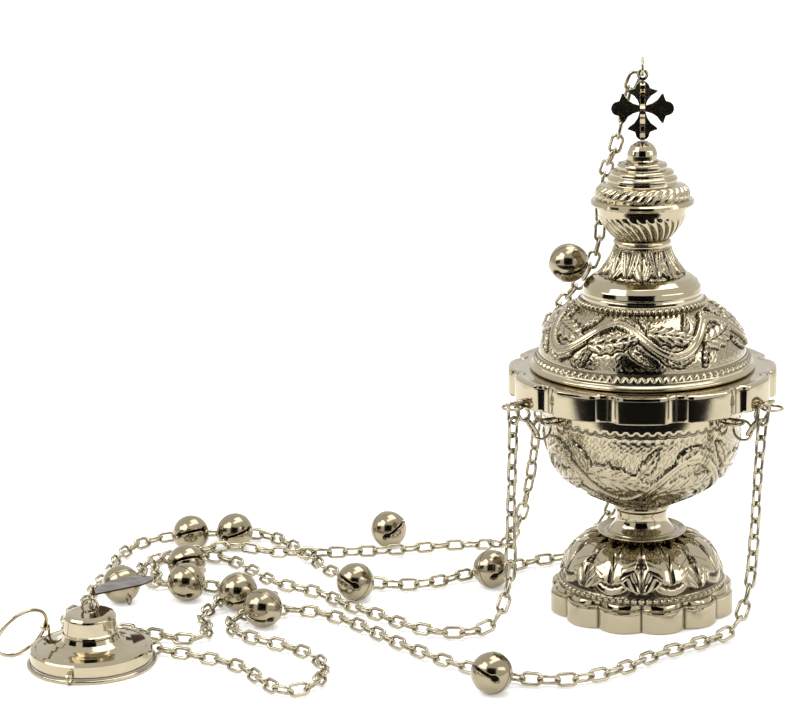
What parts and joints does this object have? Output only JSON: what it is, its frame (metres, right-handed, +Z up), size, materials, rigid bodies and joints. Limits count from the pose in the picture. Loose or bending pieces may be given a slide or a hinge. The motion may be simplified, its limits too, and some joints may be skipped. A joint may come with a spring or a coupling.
{
  "type": "hanging censer",
  "caption": "Gilt-brass thurible: footed bowl with a lifting domed lid, suspension chains with bells, and a hand cap with a finger ring.",
  "frame": {"origin": "on the floor under the stem, at the middle of the scalloped foot", "axes": "+Z up along the stem, -Y towards the viewer, the chains and hand cap lie towards -X"},
  "size_m": [0.3519, 0.2286, 0.2592],
  "materials": {
    "polished_gilt_brass": "polished",
    "bell_brass": "polished",
    "chain_brass": "polished",
    "dark_brass_sheet": "satin",
    "sooty_steel": "matte",
    "plain_steel": "satin"
  },
  "bodies": {
    "root": {"bell_01": "bell_brass", "bell_02": "bell_brass", "bell_03": "bell_brass", "bell_04": "bell_brass", "bell_05": "bell_brass", "bell_06": "bell_brass", "bell_07": "bell_brass", "bell_08": "bell_brass", "bell_09": "bell_brass", "bell_10": "bell_brass", "bell_11": "bell_brass", "bowl": "polished_gilt_brass", "bowl_base_ring": "polished_gilt_brass", "bowl_bolt": "plain_steel", "bowl_staples": "polished_gilt_brass", "cap_hoop": "polished_gilt_brass", "cap_jump_rings": "polished_gilt_brass", "cap_link_ring": "polished_gilt_brass", "cap_shell": "polished_gilt_brass", "cap_top_eye": "polished_gilt_brass", "chain_left": "chain_brass", "chain_rear": "chain_brass", "chain_right": "chain_brass", "finger_ring_eye": "polished_gilt_brass", "foot_dome": "polished_gilt_brass", "foot_nut": "plain_steel", "foot_plinth": "polished_gilt_brass", "foot_washer": "plain_steel", "lid_chain_lower": "chain_brass", "stem": "polished_gilt_brass", "stem_collar": "polished_gilt_brass"},
    "lid": {"lid_brim": "polished_gilt_brass", "lid_band": "polished_gilt_brass", "lid_dome": "polished_gilt_brass", "lid_shoulder": "polished_gilt_brass", "leaf_collar": "polished_gilt_brass", "neck_ring": "polished_gilt_brass", "lantern_bowl": "polished_gilt_brass", "lantern_flange": "polished_gilt_brass", "lantern_tiers": "polished_gilt_brass", "finial_dome": "polished_gilt_brass", "cross_front_blade": "polished_gilt_brass", "cross_side_blades": "polished_gilt_brass", "lid_tie_rod": "plain_steel", "lid_nut": "plain_steel", "guide_lugs": "polished_gilt_brass", "guide_ring_left": "polished_gilt_brass", "guide_ring_rear": "polished_gilt_brass", "guide_ring_right": "polished_gilt_brass", "lid_chain_upper": "chain_brass"},
    "liner": {"charcoal_liner": "sooty_steel"},
    "top_ring": {"top_ring": "polished_gilt_brass"},
    "finger_ring": {"finger_ring": "polished_gilt_brass"},
    "pull_plate": {"pull_plate": "dark_brass_sheet"},
    "lid_bell": {"bell_lid_chain": "bell_brass"},
    "lid_bell_pellet": {"bell_lid_pellet": "plain_steel"},
    "floor_bell_pellets": {"bell_pellets": "plain_steel"},
    "bowl_ring_right": {"bowl_ring_right": "polished_gilt_brass"},
    "bowl_ring_rear": {"bowl_ring_rear": "polished_gilt_brass"},
    "bowl_ring_left": {"bowl_ring_left": "polished_gilt_brass"}
  },
  "joints": [
    {"name": "lid_lift", "type": "slide", "parent": "root", "child": "lid", "axis": [0, 0, 1], "range_m": [0, 0.06]},
    {"name": "liner_lift", "type": "slide", "parent": "root", "child": "liner", "axis": [0, 0, 1], "range_m": [0, 0.03]},
    {"name": "top_ring_swing", "type": "hinge", "parent": "lid", "child": "top_ring", "pos_m": [0, 0, 0.2512], "axis": [0, 1, 0], "range_deg": [0, 75]},
    {"name": "finger_ring_lift", "type": "hinge", "parent": "root", "child": "finger_ring", "pos_m": [-0.26915, -0.07417, 0.01265], "axis": [-0.3373, 0.2968, -0.8934], "range_deg": [0, 55]},
    {"name": "plate_lift", "type": "hinge", "parent": "root", "child": "pull_plate", "pos_m": [-0.2445, -0.0785, 0.0293], "axis": [0.9739, -0.2272, 0], "range_deg": [0, 30]},
    {"name": "lid_bell_swing", "type": "hinge", "parent": "lid", "child": "lid_bell", "pos_m": [-0.034, 0.014, 0.1735], "axis": [0, 1, 0], "range_deg": [-4, 25]},
    {"name": "lid_bell_rattle", "type": "slide", "parent": "lid_bell", "child": "lid_bell_pellet", "axis": [0, 0, 1], "range_m": [0, 0.003]},
    {"name": "bell_rattle", "type": "slide", "parent": "root", "child": "floor_bell_pellets", "axis": [0, 0, 1], "range_m": [0, 0.003]},
    {"name": "bowl_ring_right_swing", "type": "hinge", "parent": "root", "child": "bowl_ring_right", "pos_m": [0.04555, -0.0263, 0.096], "axis": [-0.5, -0.866, 0], "range_deg": [-10, 60]},
    {"name": "bowl_ring_rear_swing", "type": "hinge", "parent": "root", "child": "bowl_ring_rear", "pos_m": [0, 0.0526, 0.096], "axis": [1, 0, 0], "range_deg": [-10, 60]},
    {"name": "bowl_ring_left_swing", "type": "hinge", "parent": "root", "child": "bowl_ring_left", "pos_m": [-0.04555, -0.0263, 0.096], "axis": [-0.5, 0.866, 0], "range_deg": [-10, 60]}
  ],
  "couplings": [
    {"joint": "liner_lift", "follows": "lid_lift", "ratio": 0.5}
  ]
}
